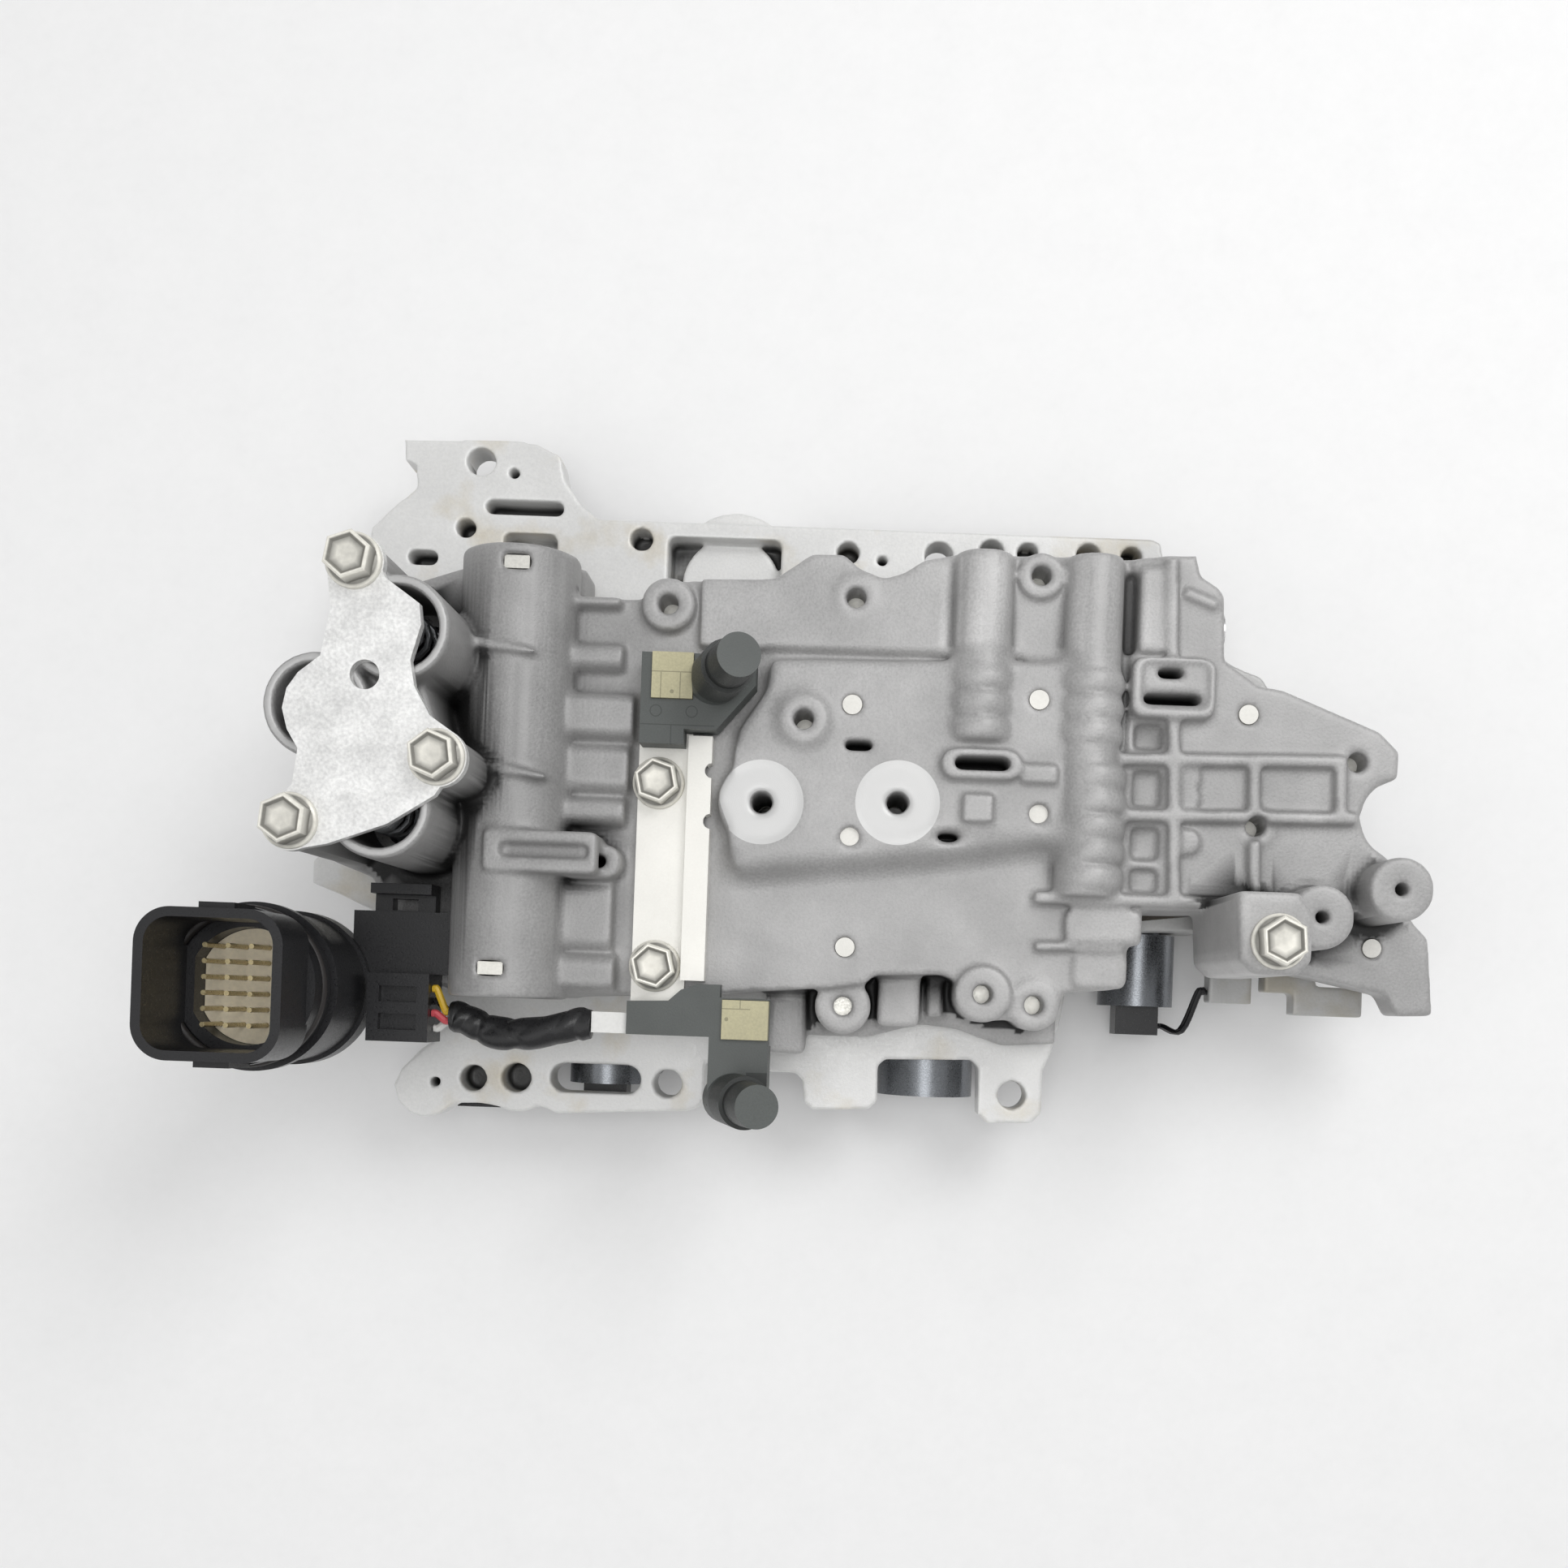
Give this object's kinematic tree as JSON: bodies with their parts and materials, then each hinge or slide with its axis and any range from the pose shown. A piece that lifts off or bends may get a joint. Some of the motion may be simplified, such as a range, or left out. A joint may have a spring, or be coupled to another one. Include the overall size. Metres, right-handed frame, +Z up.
{
  "type": "transmission valve body",
  "caption": "Valve body of an automatic gearbox: cast upper and lower halves, spool valves, spring accumulators, solenoids, speed sensors and case connector.",
  "frame": {"origin": "on the flat underside of the lower casting, near the middle of the body", "axes": "+X along the body towards the foot with the tall bosses, +Y across it towards the flange tab, +Z up, away from the table"},
  "size_m": [0.314, 0.1839, 0.111],
  "materials": {
    "cast_upper": "sand-cast, satin",
    "cast_lower": "machined, satin",
    "gasket": "matt",
    "steel": "ground",
    "zinc": "zinc plated",
    "spring": "drawn wire",
    "plug_alu": "turned",
    "piston": "anodised",
    "cover": "pressed sheet",
    "black_plastic": "moulded",
    "sensor_plastic": "moulded",
    "terminal": "moulded",
    "insert": "moulded",
    "contact": "plated",
    "seal": "matt",
    "sleeve": "wrinkled",
    "clip": "moulded",
    "lead_yellow": "insulated lead",
    "lead_red": "insulated lead",
    "lead_white": "insulated lead",
    "lead_black": "insulated lead"
  },
  "bodies": {
    "housing": {"upper_valve_body": "cast_upper", "upper_gasket": "gasket", "separator_plate": "steel", "lower_gasket": "gasket", "lower_valve_body": "cast_lower", "check_balls": "steel", "dowel_pins": "steel", "body_bolts": "zinc", "regulator_spring": "spring", "regulator_plugs": "plug_alu", "regulator_keys": "zinc", "lockup_spring": "spring", "lockup_plug": "plug_alu", "shift_spring": "spring", "shift_plug": "plug_alu", "accumulator_spring_1": "spring", "accumulator_spring_2": "spring", "accumulator_spring_3": "spring", "accumulator_cover": "cover", "accumulator_cover_bolts": "zinc", "sensor_bracket": "zinc", "sensor_bracket_bolts": "zinc", "input_speed_sensor": "sensor_plastic", "input_sensor_terminal": "terminal", "output_speed_sensor": "sensor_plastic", "output_sensor_terminal": "terminal", "harness_plug": "black_plastic", "harness_sleeve": "sleeve", "harness_clip": "clip", "wire_yellow": "lead_yellow", "wire_red": "lead_red", "wire_white": "lead_white", "wire_black": "lead_black", "connector_shell": "black_plastic", "connector_insert": "insert", "connector_pins": "contact", "connector_o_ring": "seal", "connector_bracket": "black_plastic", "line_solenoid": "steel", "shift_solenoid_1": "steel", "shift_solenoid_2": "steel", "shift_solenoid_3": "steel", "solenoid_sockets": "black_plastic", "arm_bolt_side": "zinc", "side_leads": "lead_black"},
    "regulator": {"regulator_spool": "steel"},
    "lockup": {"lockup_spool": "steel"},
    "shift": {"shift_spool": "steel"},
    "manual": {"manual_valve": "steel"},
    "accumulator_1": {"accumulator_piston_1": "piston"},
    "accumulator_2": {"accumulator_piston_2": "piston"},
    "accumulator_3": {"accumulator_piston_3": "piston"}
  },
  "joints": [
    {"name": "regulator_slide", "type": "slide", "parent": "housing", "child": "regulator", "axis": [0, 1, 0], "range_m": [-0.007, 0], "stiffness_N_per_m": 1500, "springref_m": 0.006, "deforming": ["regulator_spring"]},
    {"name": "lockup_slide", "type": "slide", "parent": "housing", "child": "lockup", "axis": [0, 1, 0], "range_m": [0, 0.004], "stiffness_N_per_m": 600, "springref_m": -0.004, "deforming": ["lockup_spring"]},
    {"name": "shift_slide", "type": "slide", "parent": "housing", "child": "shift", "axis": [0, 1, 0], "range_m": [0, 0.004], "stiffness_N_per_m": 600, "springref_m": -0.004, "deforming": ["shift_spring"]},
    {"name": "manual_slide", "type": "slide", "parent": "housing", "child": "manual", "axis": [1, 0, 0], "range_m": [-0.008, 0.012]},
    {"name": "accumulator_1_slide", "type": "slide", "parent": "housing", "child": "accumulator_1", "axis": [0, 0, 1], "range_m": [0, 0.01], "stiffness_N_per_m": 2500, "springref_m": -0.006, "deforming": ["accumulator_spring_1"]},
    {"name": "accumulator_2_slide", "type": "slide", "parent": "housing", "child": "accumulator_2", "axis": [0, 0, 1], "range_m": [0, 0.01], "stiffness_N_per_m": 2500, "springref_m": -0.006, "deforming": ["accumulator_spring_2"]},
    {"name": "accumulator_3_slide", "type": "slide", "parent": "housing", "child": "accumulator_3", "axis": [0, 0, 1], "range_m": [0, 0.01], "stiffness_N_per_m": 2500, "springref_m": -0.006, "deforming": ["accumulator_spring_3"]}
  ]
}
